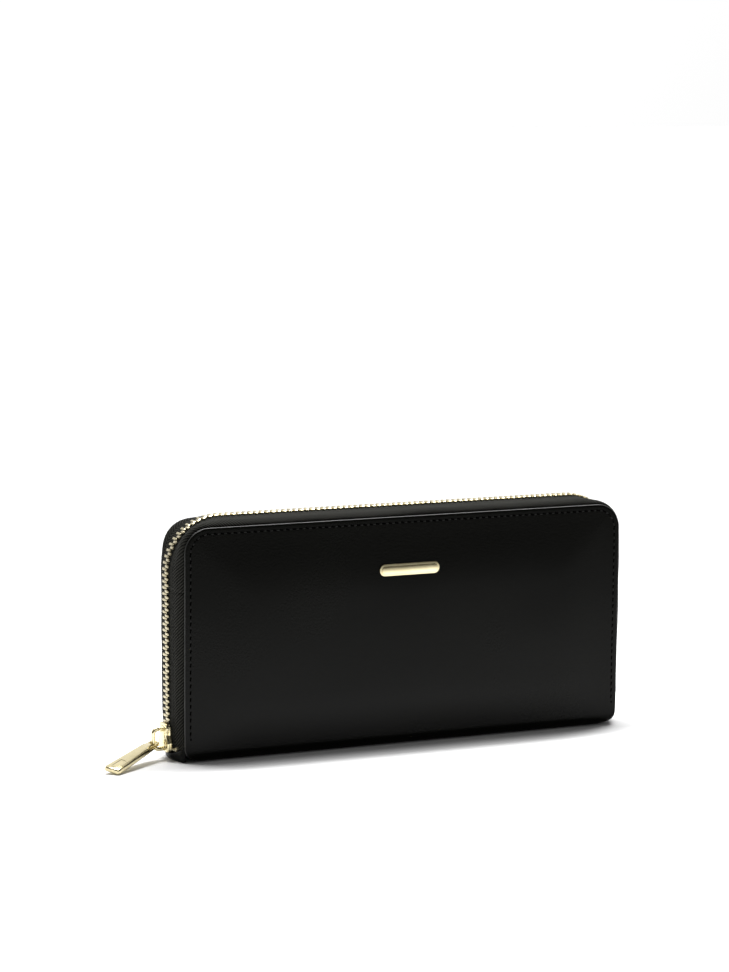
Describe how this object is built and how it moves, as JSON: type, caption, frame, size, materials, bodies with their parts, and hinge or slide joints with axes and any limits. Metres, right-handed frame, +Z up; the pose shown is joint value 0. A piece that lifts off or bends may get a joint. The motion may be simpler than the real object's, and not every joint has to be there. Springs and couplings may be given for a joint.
{
  "type": "zip around wallet",
  "caption": "Long black leather wallet closed by a metal zip round three sides, with a tapered metal puller, card pockets, two note compartments and a zipped coin pocket.",
  "frame": {"origin": "middle of the flat underside of the spine, on which the wallet stands", "axes": "+X along the wallet's length, with the zip slider at the -X end; +Z up, from the spine to the zipped top edge; the front cover with the metal bar faces -Y"},
  "size_m": [0.2276, 0.0305, 0.0958],
  "materials": {
    "black_leather": "smooth, soft satin sheen",
    "inner_leather": "fine grain, matt",
    "board": "raw fibre board, hidden",
    "lining_fabric": "close weave",
    "zip_tape": "herringbone weave",
    "zip_metal": "polished, pale gold",
    "gold_metal": "polished, pale gold"
  },
  "bodies": {
    "spine": {"spine_leather": "black_leather", "spine_lining": "lining_fabric", "end_tab_left": "black_leather", "end_tab_right": "black_leather", "coin_pocket_front": "inner_leather", "coin_pocket_back": "inner_leather", "coin_pocket_edge": "inner_leather", "coin_tape_front": "zip_tape", "coin_tape_back": "zip_tape", "coin_teeth_front": "zip_metal", "coin_teeth_back": "zip_metal", "gusset_front_left": "inner_leather", "gusset_front_right": "inner_leather", "gusset_back_left": "inner_leather", "gusset_back_right": "inner_leather"},
    "front_cover": {"front_leather": "black_leather", "front_board": "board", "front_lining": "lining_fabric", "front_card_pocket_1": "inner_leather", "front_card_pocket_2": "inner_leather", "front_card_pocket_3": "inner_leather", "front_card_pocket_4": "inner_leather", "front_zip_tape": "zip_tape", "front_teeth": "zip_metal", "front_teeth_left": "zip_metal", "front_teeth_right": "zip_metal", "front_zip_stop": "zip_metal", "front_ornament": "gold_metal"},
    "back_cover": {"back_leather": "black_leather", "back_board": "board", "back_lining": "lining_fabric", "back_card_pocket_1": "inner_leather", "back_card_pocket_2": "inner_leather", "back_card_pocket_3": "inner_leather", "back_card_pocket_4": "inner_leather", "back_zip_tape": "zip_tape", "back_teeth": "zip_metal", "back_teeth_left": "zip_metal", "back_teeth_right": "zip_metal", "back_zip_stop": "zip_metal"},
    "slider": {"slider_body": "gold_metal", "slider_crown": "gold_metal"},
    "puller": {"puller": "gold_metal"},
    "coin_slider": {"coin_slider": "gold_metal", "coin_slider_pin": "gold_metal"},
    "coin_puller": {"coin_puller": "gold_metal"}
  },
  "joints": [
    {"name": "front_cover_swing", "type": "hinge", "parent": "spine", "child": "front_cover", "pos_m": [0, -0.0106, 0.0051], "axis": [1, 0, 0], "range_deg": [0, 30], "deforming": ["gusset_front_left", "gusset_front_right", "front_teeth_right"]},
    {"name": "back_cover_swing", "type": "hinge", "parent": "spine", "child": "back_cover", "pos_m": [0, 0.0106, 0.0051], "axis": [-1, 0, 0], "range_deg": [0, 30], "deforming": ["gusset_back_left", "gusset_back_right", "back_teeth_right"]},
    {"name": "slider_travel", "type": "slide", "parent": "back_cover", "child": "slider", "axis": [0, 0, 1], "range_m": [0, 0.058], "deforming": ["front_teeth_left", "back_teeth_left"]},
    {"name": "puller_swing", "type": "hinge", "parent": "slider", "child": "puller", "pos_m": [-0.104, 0, 0.0066], "axis": [-0.5934, 0.8049, 0], "range_deg": [-30, 33]},
    {"name": "coin_slider_travel", "type": "slide", "parent": "spine", "child": "coin_slider", "axis": [1, 0, 0], "range_m": [0, 0.145], "deforming": ["coin_teeth_front", "coin_teeth_back"]},
    {"name": "coin_puller_swing", "type": "hinge", "parent": "coin_slider", "child": "coin_puller", "pos_m": [-0.073, 0, 0.0716], "axis": [0, -1, 0], "range_deg": [0, 165]}
  ]
}
